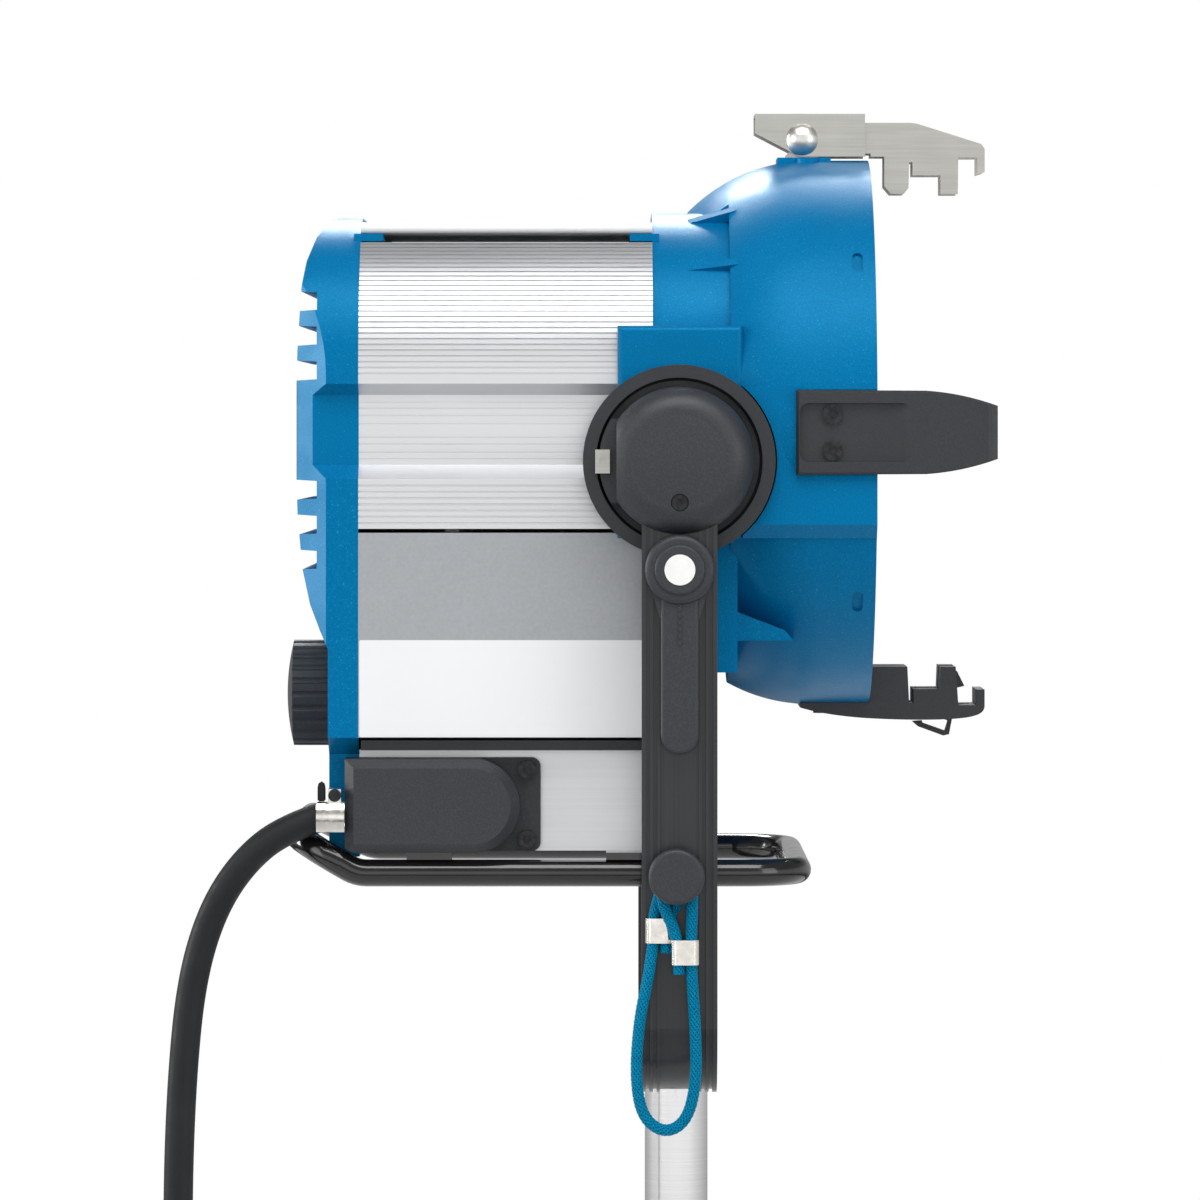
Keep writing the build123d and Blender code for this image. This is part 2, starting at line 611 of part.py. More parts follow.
def side_bracket():
    """Black cast holder bolted into a seat in the side of the bell."""
    outer = BRACKET_OUT
    outside = [(BELL_RIM_X + 0.4, outer), (136.5, outer), (139.6, outer - 1.6)]
    plan = outside + claw_inside(121.8, 116.5, 108.0)
    claw = along_z(polygon(*plan), -BRACKET_HALF, BRACKET_HALF)
    claw += block(51.4, 89, SEAT_Y, outer, -BRACKET_HALF, BRACKET_HALF)
    upper_edge = [
        Line((51.4, BRACKET_HALF), (108, 18.3)),
        ThreePointArc((108, 18.3), (125, 15.9), (139.7, 11.6)),
        Line((139.7, 11.6), (139.7, -11.6)),
        ThreePointArc((139.7, -11.6), (125, -15.9), (108, -18.3)),
        Line((108, -18.3), (51.4, -BRACKET_HALF)),
        Line((51.4, -BRACKET_HALF), (51.4, BRACKET_HALF)),
    ]
    bracket = claw & along_y(make_face(upper_edge), 100, 130)
    bracket = chamfer(bracket.faces().sort_by(Axis.Y)[-1].edges(), 1.0)
    recess_floor = 122.8
    ramp = polygon(
        (52.8, 130), (52.8, recess_floor), (92, recess_floor), (97.5, 123.6), (101.3, outer), (101.3, 130),
    )
    corners = along_y(Pos(77.05, 0) * RectangleRounded(48.5, 25.8, 4), 120, 130)
    bracket -= corners & along_z(ramp, -15, 15)
    for z in (-8, 8):
        bracket -= rod_y(2.1, 118, 130, 67.3, z)
    save_head("side_bracket_left", bracket)
    save_head("side_bracket_right", other_side(bracket))
    screws = [socket_screw(67.3, -recess_floor, z, 4.3, 2.2, 1.6) for z in (-8, 8)]
    head_z = -126.0
    lower = [rod_z(2.0, head_z, -121.6, x, 0) + rod_z(3.6, head_z - 1.8, head_z, x, 0) for x in (66, 80)]
    pin = rod_y(1.5, -12.5, 12.5, CATCH_X, CATCH_REL)
    save_head("bracket_fixings", group(*screws, *[other_side(screw) for screw in screws], *lower, pin))


def bottom_bracket():
    """Black lower holder that hugs the bell, slotted along its middle for the sprung catch."""
    underside = [
        (56, -124.7), (62, -126.3), (69.6, -127.7), (80, -129.0), (92.3, -129.8), (115, -130.2), (128, -129.6),
        (135, -128.4), (138.5, -126.6), (139.6, -124.0),
    ]
    inside = [(x, -r) for x, r in claw_inside(123.6, 116.3, 106.2)]
    back = [(BELL_RIM_X + 0.4, -118.0), (56, -118.0)]
    outline = make_face([Spline(*underside), Polyline(underside[-1], *inside, *back, underside[0])])
    bracket = along_y(outline, -19, 19) - rod_x(BELL_R + 0.1, 50, BELL_RIM_X + 0.4)
    bracket -= block(105.8, 133.5, -4.6, 4.6, -135, -100)
    bracket -= rod_y(1.5, -13, 13, CATCH_X, CATCH_REL)
    for x in (66, 80):
        bracket -= rod_z(2.1, -140, -120, x, 0) + rod_z(3.8, -140, -126.0, x, 0)
    save_head("bottom_bracket", bracket)
    catch = polygon(
        (107.5, -131.6), (110, -133.8), (121.5, -138.0), (124.2, -137.4), (125.8, -129.0), (126.4, -116.6),
        (131.2, -115.4), (127.8, -108.6), (123.6, -108.6), (121.4, -121.0), (120.6, -130.8),
    )
    notch = polygon((112, -130), (112, -132.2), (122.4, -135.9), (123.8, -131.2), (120, -130))
    body = along_y(catch - notch, -4.2, 4.2) - rod_y(1.5 + RUNNING, -5, 5, CATCH_X, CATCH_REL)
    save_head("bottom_catch", body)


def top_latch():
    """Steel latch: a channel with the holder's cheeks inside it, on two ears over the bell."""
    base = block(50, 64, -10.6, 10.6, 124.7, 126.2)
    ear = block(51, 63, 7.6, 10.6, 126.2, LATCH_REL) + rod_y(6.0, 7.6, 10.6, LATCH_X, LATCH_REL)
    base = base + both_sides(ear) - rod_y(3.0 + RUNNING, -11, 11, LATCH_X, LATCH_REL)
    save_head("top_latch_base", base - rod_z(2.1, 124, 127, LATCH_X, 0))

    side_view = polygon((35.6, 144.6), (85.6, 144.6), (85.6, 125.2), (56.0, 125.2), (35.6, 135.8))
    channel = along_y(side_view, -14, 14) - block(34, 87, -12.2, 12.2, 120, 143.2)
    channel -= rod_y(3.0, -20, 20, LATCH_X, LATCH_REL)
    save_head("top_latch_channel", channel)

    arm_view = polygon(
        (68.0, 140.6), (106.3, 140.6), (109.3, 140.2), (138.4, 131.0), (140.0, 128.8), (140.0, 118.2),
        (136.6, 117.2), (136.6, 124.8), (128.0, 124.8), (127.8, 108.2), (119.9, 108.2), (119.9, 116.7),
        (107.2, 116.7), (107.2, 122.7), (105.7, 122.7), (105.4, 111.0), (103.3, 108.3), (97.4, 108.3),
        (94.4, 111.8), (94.4, 125.2), (88.2, 125.2), (88.2, 126.6), (68.0, 126.6),
    )
    arm = along_y(arm_view, -12.2, 12.2) - block(60, 150, -10.4, 10.4, 100, 138.8)
    arm -= block(106.3, 150, -7, 7, 120, 141)
    save_head("top_latch_arm", arm)
    head = ThreePointArc((0, 17.6), (5.2, 16.1), (7.3, 14.0))
    dome = make_face([head, Line((7.3, 14.0), (0, 14.0)), Line((0, 14.0), (0, 17.6))])
    rivet_head = turned_y(dome, LATCH_X, LATCH_REL)
    rivet = rod_y(3.0, -14.0, 14.0, LATCH_X, LATCH_REL) + rivet_head + other_side(rivet_head)
    save_head("top_latch_rivet", rivet)


# ---------------------------------------------------------------- tilt pivots
def brake_disc():
    """Black dish on the head; the yoke's pad presses on its rim."""
    dish = turned_y(
        polygon(
            (PIVOT_R + 0.1, DISC_BACK), (DISC_R, DISC_BACK), (DISC_R, DISC_FACE), (DISC_RECESS_R, DISC_FACE),
            (DISC_RECESS_R - 1.2, DISC_FLOOR), (PIVOT_R + 0.1, DISC_FLOOR),
        ),
        0,
        TILT_Z,
    )
    save("brake_disc_left", dish)
    save("brake_disc_right", other_side(dish))


def pivot_cover():
    """Domed cap over the end of each yoke arm, with a lower ledge at its rear."""
    low, top = DISC_FLOOR + 1.0, 150.5
    dome_edges = [
        Line((0, low), (COVER_R, low)),
        Line((COVER_R, low), (COVER_R, 138)),
        ThreePointArc((COVER_R, 138), (29.0, 145.8), (20.5, 149.3)),
        ThreePointArc((20.5, 149.3), (10, 150.2), (0, top)),
        Line((0, top), (0, low)),
    ]
    dome = turned_y(make_face(dome_edges), 0, TILT_Z)
    dome -= block(-40, -27.5, 129.5, 160, TILT_Z - 40, TILT_Z + 40)
    ledge = rod_y(35.1, low, 129.5, 0, TILT_Z) & block(-36, -26, low, 130, TILT_Z - 18.5, TILT_Z + 18.5)
    cover = dome + ledge
    arm_space = block(-16.7, 16.7, YOKE_INSIDE - 0.1, YOKE_OUTSIDE + 0.1, TILT_Z - 60, TILT_Z)
    arm_space += rod_y(16.7, YOKE_INSIDE - 0.1, YOKE_OUTSIDE + 0.1, 0, TILT_Z)
    cover = cover - arm_space - rod_y(PIVOT_R + 0.1, low - 1, 130, 0, TILT_Z)
    cover -= rod_y(9.8, 140, 147.8, 0, TILT_Z)
    cover -= rod_y(3.85, 145.5, 155, 0, TILT_Z - 18)
    cover -= rod_y(2.1, 140, 150, 0, TILT_Z - 18)
    save("pivot_cover_left", cover)
    save("pivot_cover_right", other_side(cover))

    screw = rod_y(3.5, 145.5, 148, 0, TILT_Z - 18) + rod_y(2.0, 136, 145.5, 0, TILT_Z - 18)
    screw -= along_y(Pos(0, TILT_Z - 18) * RegularPolygon(1.8, 6), 146.8, 149)
    save("pivot_cover_screws", group(screw, other_side(screw)))
    bolt = rod_y(PIVOT_R, 103, YOKE_OUTSIDE, 0, TILT_Z)
    bolt += along_y(Pos(0, TILT_Z) * RegularPolygon(9.4, 6), YOKE_OUTSIDE, 147.5)
    save("pivot_bolts", group(bolt, other_side(bolt)))
    index = block(-36.8, -30.4, 129.5, 132.0, TILT_Z - 5.4, TILT_Z + 5.0)
    index -= rod_y(1.5, 131, 133, -33.6, TILT_Z)
    save("tilt_index_blocks", group(index, other_side(index)))


# ---------------------------------------------------------------- yoke
def yoke():
    """One grooved profile bent to a U, with rounded ends at the pivots."""
    outline = Rectangle(YOKE_WIDTH, YOKE_THICK)
    outline -= Pos(0, YOKE_THICK / 2) * Rectangle(17.0, 2.4)
    for x in (-10.6, 10.6, -13.8, 13.8):
        outline -= Pos(x, YOKE_THICK / 2) * Rectangle(1.7, 2.6)
    cross_z = CROSS_BOTTOM + YOKE_THICK / 2
    path = FilletPolyline(
        (0, -YOKE_MID, TILT_Z), (0, -YOKE_MID, cross_z), (0, YOKE_MID, cross_z), (0, YOKE_MID, TILT_Z),
        radius=YOKE_BEND_R,
    )
    start = Plane(origin=(0, -YOKE_MID, TILT_Z), x_dir=(1, 0, 0), z_dir=(0, 0, -1))
    frame = sweep(start * outline, path=path)
    frame += both_sides(rod_y(YOKE_WIDTH / 2, YOKE_INSIDE, YOKE_OUTSIDE, 0, TILT_Z))
    holes = rod_y(PIVOT_R + 0.1, 128, 142, 0, TILT_Z) + rod_y(2.1, 135, 142, 0, TILT_Z - 18)
    frame -= both_sides(holes)
    frame -= rod_y(5.1, -142, -128, 0, LEVER_Z)
    frame -= rod_y(4.1, -142, -134, STRAP_POST_X, STRAP_POST_Z)
    frame -= rod_z(6.1, 10, 27)
    save("yoke_frame", frame)

    spigot = rod_z(SPIGOT_R, SPIGOT_BOTTOM, CROSS_BOTTOM) - rod_z(6.1, -32, CROSS_BOTTOM + 1)
    spigot = chamfer(spigot.faces().sort_by(Axis.Z)[0].edges(), 2)
    save("spigot", spigot)
    bolt = rod_z(6.0, -30, CROSS_BOTTOM + YOKE_THICK)
    bolt += along_z(RegularPolygon(10.5, 6), CROSS_BOTTOM + YOKE_THICK + 1.6, CROSS_BOTTOM + YOKE_THICK + 9)
    bolt += rod_z(14, CROSS_BOTTOM + YOKE_THICK, CROSS_BOTTOM + YOKE_THICK + 1.6)
    save("spigot_bolt", bolt)


def lock_lever():
    """Tilt lock on the right arm: stud, pad, lever and its white insert."""
    head_y = -YOKE_OUTSIDE - 1.0
    stud_r = 5.0
    pad = block(-10, 10, -YOKE_INSIDE, -DISC_FACE - 0.3, LEVER_Z - 7, LEVER_Z + 13)
    pad -= rod_y(stud_r + 0.1, -140, -120, 0, LEVER_Z)
    stud = rod_y(stud_r, -146, -DISC_FACE - 0.3, 0, LEVER_Z)
    stud += block(-7, 7, -DISC_FACE - 0.3, -126.6, LEVER_Z - 3.4, LEVER_Z + 4.2)
    save("tilt_brake", group(pad, stud))

    arm_middle = LEVER_Z + LEVER_WIDTH / 4 - LEVER_LENGTH / 2
    arm_plan = Pos(0, arm_middle) * SlotOverall(LEVER_LENGTH + LEVER_WIDTH / 2, LEVER_WIDTH, rotation=90)
    arm = along_y(arm_plan, head_y - 6.5, head_y)
    arm = fillet(arm.faces().sort_by(Axis.Y)[0].edges(), 1.6)
    head = rod_y(LEVER_HEAD_R, head_y - 9, head_y, 0, LEVER_Z)
    head = fillet(head.faces().sort_by(Axis.Y)[0].edges(), 2.4)
    crown = rod_y(11.0, head_y - 10.6, head_y - 8, 0, LEVER_Z)
    crown = fillet(crown.faces().sort_by(Axis.Y)[0].edges(), 1.2)
    neck_half, arm_half = 12.8, LEVER_WIDTH / 2
    neck = polygon(
        (-neck_half, LEVER_Z - 8), (neck_half, LEVER_Z - 8), (arm_half, LEVER_Z - 22), (-arm_half, LEVER_Z - 22),
    )
    lever = arm + head + crown + along_y(neck, head_y - 5.5, head_y)
    for number in range(6):
        z = LEVER_Z - 16.9 - 2.96 * number
        lever += rod_y(0.9, head_y - 7.3, head_y - 6, 0, z)
    lever -= rod_y(6.8, head_y - 12, head_y - 9.8, 0, LEVER_Z)
    lever -= rod_y(stud_r + RUNNING, -146.2, -140, 0, LEVER_Z)
    save("lock_lever", lever)
    save("lever_insert", rod_y(6.7, head_y - 11.0, head_y - 9.8, 0, LEVER_Z))


# ---------------------------------------------------------------- strap
def ferrule(x, y, z, spacing, lean):
    """Flat metal sleeve crimped round two strands that are spacing apart."""
    outside = SlotOverall(spacing + ROPE_D + 2.2, ROPE_D + 2.2)
    strands = Pos(-spacing / 2, 0) * Circle(ROPE_D / 2) + Pos(spacing / 2, 0) * Circle(ROPE_D / 2)
    sleeve = along_z(outside - strands - Rectangle(spacing, ROPE_D * 0.9), -5.4, 5.4)
    return Pos(x, y, z) * Rot(0, lean, 0) * sleeve


def strap():
    """Safety strap looped twice round a post on the right arm."""
    x, face = STRAP_POST_X, -YOKE_OUTSIDE
    post = rod_y(4.0, -153, -134, x, STRAP_POST_Z)
    button = rod_y(12.2, -157.5, -152.6, x, STRAP_POST_Z)
    button = fillet(button.faces().sort_by(Axis.Y)[0].edges(), 2.0)
    collar = rod_y(6, face, face + 1.2, x, STRAP_POST_Z)
    save("strap_post", post + button + collar)
    upper = ferrule(-8.75, -144.9, 86.2, 5.3, 0)
    lower = ferrule(2.25, -149.0, 77.0, 5.3, 0)
    save("strap_ferrules", group(upper, lower))
    cord_tube("strap_cord", STRAP_ROUTE, ROPE_D)


# ---------------------------------------------------------------- cable and its connector
def head_cable():
    """Short cable tail that hangs from the gland, with an in-line connector at its end."""
    cord_tube("head_cable", CABLE_ROUTE, CABLE_D)
    x, y, top = CABLE_ROUTE[-1]
    bore = CABLE_D / 2
    boot = polygon((bore, top + 8), (9.5, top + 8), (12, top), (15.5, top - 16), (bore, top - 16))
    save("connector_boot", turned_z(boot, x, y))
    shell = polygon(
        (0, top - 16), (17, top - 16), (20.5, top - 22), (20.5, top - 74), (17.6, top - 76), (17.6, top - 92),
        (15.6, top - 92), (15.6, top - 80), (0, top - 80),
    )
    save("connector_shell", turned_z(shell, x, y))
    ring = polygon((20.6, top - 48), (23.6, top - 49), (23.6, top - 71), (20.6, top - 72))
    ring_body = turned_z(ring, x, y)
    for number in range(18):
        angle = radians(number * 20)
        ring_body -= rod_z(1.4, top - 75, top - 45, x + 24.2 * cos(angle), y + 24.2 * sin(angle))
    save("connector_ring", ring_body)
    insert = rod_z(15.5, top - 84, top - 80, x, y)
    pins = rod_z(2.0, top - 90, top - 84, x, y)
    for number in range(6):
        angle = radians(number * 60)
        pins += rod_z(2.0, top - 90, top - 84, x + 9 * cos(angle), y + 9 * sin(angle))
    save("connector_insert", insert + pins)


# ---------------------------------------------------------------- the whole lamp
front_housing()
side_profile()
side_panels()
top_cover()
vent_baffle()
floor_plate()
lower_front_cover()
ignitor_housing()
ignitor_module()
rear_cap()
reflector()
lens_parts()
focus_drive()
lamp()
connection_cover()
cable_gland()
case_screws()
skid_frame()
side_bracket()
bottom_bracket()
top_latch()
brake_disc()
pivot_cover()
yoke()
lock_lever()
strap()
head_cable()
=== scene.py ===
"""The studio spotlight's looks: materials, cords, small trim, light and camera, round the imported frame."""

from math import atan2, cos, pi, radians, sin

import bmesh
import bpy
from mathutils import Matrix, Vector


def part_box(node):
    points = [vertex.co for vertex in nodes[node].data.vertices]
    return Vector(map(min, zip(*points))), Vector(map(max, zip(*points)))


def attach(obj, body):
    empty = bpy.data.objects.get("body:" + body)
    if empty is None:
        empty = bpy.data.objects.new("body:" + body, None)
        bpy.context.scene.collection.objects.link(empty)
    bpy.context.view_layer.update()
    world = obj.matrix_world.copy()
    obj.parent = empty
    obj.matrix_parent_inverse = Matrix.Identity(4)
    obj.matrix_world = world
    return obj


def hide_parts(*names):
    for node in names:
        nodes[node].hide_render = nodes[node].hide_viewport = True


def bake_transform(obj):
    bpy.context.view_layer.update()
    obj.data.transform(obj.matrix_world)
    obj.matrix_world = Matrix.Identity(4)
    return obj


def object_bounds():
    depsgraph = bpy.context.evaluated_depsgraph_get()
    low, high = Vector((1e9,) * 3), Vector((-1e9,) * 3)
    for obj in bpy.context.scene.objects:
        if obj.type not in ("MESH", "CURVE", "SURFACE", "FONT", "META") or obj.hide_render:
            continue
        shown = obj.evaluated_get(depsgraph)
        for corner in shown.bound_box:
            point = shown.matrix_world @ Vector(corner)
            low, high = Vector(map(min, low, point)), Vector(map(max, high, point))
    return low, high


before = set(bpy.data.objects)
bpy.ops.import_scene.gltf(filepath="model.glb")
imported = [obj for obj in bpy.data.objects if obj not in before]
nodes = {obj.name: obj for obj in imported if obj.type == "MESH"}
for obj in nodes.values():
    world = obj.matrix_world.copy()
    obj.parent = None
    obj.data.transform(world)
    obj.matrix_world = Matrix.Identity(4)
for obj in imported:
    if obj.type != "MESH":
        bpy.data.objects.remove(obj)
cad_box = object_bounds()

lens_low, lens_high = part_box("fresnel_lens")
OPTIC_Z = (lens_low.z + lens_high.z) / 2

# The head cable's and the strap's routes, in metres: the same points as in the CAD source.
ROUTE_STEPS = 24
CABLE_DIAMETER = 0.013
CABLE_ROUTE = [
    (-0.1560, -0.1035, 0.1340),
    (-0.1745, -0.1035, 0.1280),
    (-0.1925, -0.1035, 0.1130),
    (-0.2060, -0.1035, 0.0915),
    (-0.2148, -0.1038, 0.0615),
    (-0.2190, -0.1045, 0.0195),
    (-0.2210, -0.1050, -0.0350),
    (-0.2204, -0.1040, -0.1100),
    (-0.2220, -0.1028, -0.1950),
    (-0.2210, -0.1035, -0.2700),
    (-0.2210, -0.1035, -0.3360),
]

STRAP_ROUTE = [
    (-0.0004, -0.1490, 0.0675),
    (-0.0004, -0.1490, 0.0840),
    (-0.0082, -0.1496, 0.0980),
    (-0.0082, -0.1498, 0.1168),
    (0.0052, -0.1498, 0.1168),
    (0.0056, -0.1496, 0.0990),
    (0.0049, -0.1490, 0.0840),
    (0.0050, -0.1488, 0.0700),
    (0.0066, -0.1484, 0.0470),
    (0.0074, -0.1482, 0.0220),
    (0.0035, -0.1482, 0.0040),
    (-0.0062, -0.1480, -0.0020),
    (-0.0164, -0.1480, 0.0050),
    (-0.0194, -0.1480, 0.0230),
    (-0.0176, -0.1476, 0.0480),
    (-0.0136, -0.1464, 0.0660),
    (-0.0114, -0.1450, 0.0820),
    (-0.0114, -0.1448, 0.0930),
    (-0.0082, -0.1442, 0.1030),
    (-0.0082, -0.1440, 0.1168),
    (0.0052, -0.1440, 0.1168),
    (0.0052, -0.1442, 0.1035),
    (-0.0061, -0.1448, 0.0930),
    (-0.0061, -0.1450, 0.0765),
]


def add_object(name, data):
    """A new object round a mesh, light or camera, in the scene."""
    added = bpy.data.objects.new(name, data)
    bpy.context.scene.collection.objects.link(added)
    return added


# ---------------------------------------------------------------- camera
def make_camera():
    """Level with the optical axis, on the lamp's right, with the frame shifted down."""
    distance, frame_width = 3.2, 0.547
    middle_x, shift_down = -0.0347, 0.1397
    camera = add_object("camera", bpy.data.cameras.new("camera"))
    camera.location = (middle_x, -distance, OPTIC_Z)
    camera.rotation_euler = (radians(90), 0, 0)
    camera.data.lens = camera.data.sensor_width * distance / frame_width
    camera.data.shift_y = -shift_down
    camera.data.clip_end = 50
    bpy.context.scene.camera = camera


# ---------------------------------------------------------------- mesh helpers
def new_piece(name, vertices, faces):
    mesh = bpy.data.meshes.new(name)
    mesh.from_pydata([tuple(vertex) for vertex in vertices], [], faces)
    mesh.validate()
    mesh.shade_smooth()
    return add_object(name, mesh)


def spline_line(name, route, steps):
    """Points along the smooth line that the route controls."""
    curve = bpy.data.curves.new(name, "CURVE")
    curve.dimensions = "3D"
    curve.resolution_u = steps
    spline = curve.splines.new("NURBS")
    spline.points.add(len(route) - 1)
    for point, place in zip(spline.points, route):
        point.co = (*place, 1)
    spline.order_u = 3
    spline.use_endpoint_u = True
    holder = bpy.data.objects.new(name, curve)
    mesh = bpy.data.meshes.new_from_object(holder)
    line = [vertex.co.copy() for vertex in mesh.vertices]
    bpy.data.objects.remove(holder)
    bpy.data.meshes.remove(mesh)
    return line


def even_line(line, step):
    """The line with its points spaced step apart."""
    points, carried = [line[0]], 0.0
    for before, after in zip(line, line[1:]):
        run = (after - before).length
        while carried + run >= step:
            before = before.lerp(after, (step - carried) / run)
            points.append(before)
            run = (after - before).length
            carried = 0.0
        carried += run
    return points


def side_frames(line):
    """Two side directions at each point of a line, carried along it without twist."""
    befores, afters = [line[0], *line[:-1]], [*line[1:], line[-1]]
    tangents = [(after - before).normalized() for before, after in zip(befores, afters)]
    side = tangents[0].cross(Vector((0, 1, 0.02))).normalized()
    frames = []
    for tangent in tangents:
        side = (side - tangent * side.dot(tangent)).normalized()
        frames.append((side, tangent.cross(side)))
    return frames


def ring_faces(first, second, sides):
    return [
        (first + i, first + (i + 1) % sides, second + (i + 1) % sides, second + i)
        for i in range(sides)
    ]


def tube(line, frames, sides, radius):
    """Vertices and faces of a closed tube round a line."""
    vertices, faces = [], []
    for i, (point, (side, up)) in enumerate(zip(line, frames)):
        for k in range(sides):
            angle = 2 * pi * k / sides
            vertices.append(point + (side * cos(angle) + up * sin(angle)) * radius)
        if i:
            faces += ring_faces((i - 1) * sides, i * sides, sides)
    faces.append(tuple(range(sides))[::-1])
    faces.append(tuple(range(len(vertices) - sides, len(vertices))))
    return vertices, faces


# ---------------------------------------------------------------- materials
def fill_ramp(ramp, stops):
    """Gives a colour ramp its colours at places from 0 to 1."""
    elements = ramp.color_ramp.elements
    while len(elements) < len(stops):
        elements.new(0.5)
    for element, (place, color) in zip(elements, stops):
        element.position = place
        element.color = (*color, 1)


class Look:
    """One procedural material: a shader, and textures in the object's own coordinates."""

    def __init__(self, name, color, roughness, metallic=0.0, **values):
        self.material = bpy.data.materials.new(name)
        self.material.use_nodes = True
        self.tree = self.material.node_tree
        self.shader = self.tree.nodes["Principled BSDF"]
        self.set("Base Color", (*color, 1))
        self.set("Roughness", roughness)
        self.set("Metallic", metallic)
        for key, value in values.items():
            self.set(key.replace("_", " "), value)
        self.coordinates = self.tree.nodes.new("ShaderNodeTexCoord").outputs["Object"]

    def set(self, socket, value):
        self.shader.inputs[socket].default_value = value

    def link(self, output, socket):
        self.tree.links.new(output, socket)

    def placed(self, stretch):
        mapping = self.tree.nodes.new("ShaderNodeMapping")
        mapping.inputs["Scale"].default_value = stretch
        self.link(self.coordinates, mapping.inputs["Vector"])
        return mapping.outputs["Vector"]

    def noise(self, scale, detail=2.0, stretch=(1, 1, 1)):
        texture = self.tree.nodes.new("ShaderNodeTexNoise")
        texture.inputs["Scale"].default_value = scale
        texture.inputs["Detail"].default_value = detail
        self.link(self.placed(stretch), texture.inputs["Vector"])
        return texture.outputs["Fac"]

    def cells(self, scale, stretch=(1, 1, 1)):
        texture = self.tree.nodes.new("ShaderNodeTexVoronoi")
        texture.inputs["Scale"].default_value = scale
        self.link(self.placed(stretch), texture.inputs["Vector"])
        return texture.outputs["Distance"]

    def ramp(self, value, *stops):
        """Colours at places from 0 to 1 along a value."""
        ramp = self.tree.nodes.new("ShaderNodeValToRGB")
        fill_ramp(ramp, stops)
        self.link(value, ramp.inputs["Fac"])
        return ramp.outputs["Color"]

    def color_by(self, value, *stops):
        self.link(self.ramp(value, *stops), self.shader.inputs["Base Color"])
        return self

    def roughness_by(self, value, low, high):
        spread = self.tree.nodes.new("ShaderNodeMapRange")
        spread.inputs["From Min"].default_value = 0.3
        spread.inputs["From Max"].default_value = 0.7
        spread.inputs["To Min"].default_value = low
        spread.inputs["To Max"].default_value = high
        self.link(value, spread.inputs["Value"])
        self.link(spread.outputs["Result"], self.shader.inputs["Roughness"])
        return self

    def bump_by(self, value, depth, strength=1.0):
        """depth is in metres; a second call adds its bump to the first."""
        bump = self.tree.nodes.new("ShaderNodeBump")
        bump.inputs["Strength"].default_value = strength
        bump.inputs["Distance"].default_value = depth
        self.link(value, bump.inputs["Height"])
        before = self.shader.inputs["Normal"].links
        if before:
            self.link(before[0].from_socket, bump.inputs["Normal"])
        self.link(bump.outputs["Normal"], self.shader.inputs["Normal"])
        return self


def blue_enamel():
    """Blue textured enamel: fine pebbled surface with lighter grains."""
    look = Look("blue_enamel", (0.0, 0.2, 0.44), 0.36, Specular_Tint=(0.08, 0.6, 1.0, 1.0))
    grains = look.noise(1500, 3)
    look.color_by(
        grains, (0.0, (0.0, 0.1, 0.25)), (0.5, (0.0, 0.14, 0.33)), (0.68, (0.0, 0.17, 0.39)),
        (0.82, (0.1, 0.42, 0.66)),
    )
    look.roughness_by(look.noise(45, 3), 0.3, 0.42)
    return look.bump_by(grains, 0.00012, 0.55).bump_by(look.noise(260, 2), 0.0001, 0.3)


def extruded_aluminium():
    """Clear anodised extrusion, with faint die lines along its length."""
    look = Look("extruded_aluminium", (0.8, 0.81, 0.83), 0.36, 0.85)
    lines = look.noise(30, 2, (0.1, 30, 30))
    look.color_by(lines, (0.25, (0.71, 0.72, 0.735)), (0.75, (0.75, 0.76, 0.775)))
    look.roughness_by(look.noise(14, 3, (0.5, 3, 3)), 0.31, 0.4)
    return look.bump_by(lines, 0.000004, 0.3)


def sheet_aluminium():
    """Silver-grey lacquered sheet."""
    look = Look("sheet_aluminium", (0.56, 0.575, 0.6), 0.36, 0.45)
    grain = look.noise(700, 2)
    look.color_by(grain, (0.2, (0.36, 0.375, 0.395)), (0.8, (0.41, 0.425, 0.445)))
    look.roughness_by(look.noise(20, 3), 0.32, 0.42)
    return look.bump_by(grain, 0.00002, 0.4)


def white_lacquer():
    """Plain white lacquer of the lower band and the top cover."""
    look = Look("white_lacquer", (0.82, 0.83, 0.85), 0.32)
    look.color_by(look.noise(9, 2), (0.2, (0.8, 0.81, 0.83)), (0.8, (0.85, 0.86, 0.875)))
    look.roughness_by(look.noise(60, 2), 0.28, 0.38)
    return look.bump_by(look.noise(900, 2), 0.00003, 0.3)


def black_coating():
    """Fine-textured black powder coat."""
    look = Look("black_coating", (0.034, 0.037, 0.042), 0.44)
    grain = look.noise(1700, 3)
    look.color_by(grain, (0.2, (0.014, 0.017, 0.02)), (0.75, (0.026, 0.03, 0.035)))
    look.roughness_by(look.noise(40, 4), 0.38, 0.5)
    return look.bump_by(grain, 0.00008, 0.5)


def black_anodised():
    """Black anodised extrusion of the yoke, smoother along its length."""
    look = Look("black_anodised", (0.024, 0.026, 0.029), 0.3, Coat_Weight=0.15, Coat_Roughness=0.2)
    lines = look.noise(40, 3, (50, 50, 0.4))
    look.color_by(lines, (0.25, (0.01, 0.0115, 0.0135)), (0.75, (0.018, 0.0205, 0.024)))
    look.roughness_by(look.noise(25, 3, (1, 1, 0.3)), 0.24, 0.36)
    return look.bump_by(lines, 0.00002, 0.6)


def black_gloss():
    """Glossy black lacquer of the tubular skid."""
    look = Look("black_gloss", (0.008, 0.008, 0.009), 0.14, Coat_Weight=0.5, Coat_Roughness=0.06)
    look.color_by(look.noise(30, 2), (0.2, (0.006, 0.006, 0.007)), (0.8, (0.012, 0.012, 0.013)))
    look.roughness_by(look.noise(120, 4), 0.1, 0.2)
    return look.bump_by(look.noise(90, 2), 0.00005, 0.25)


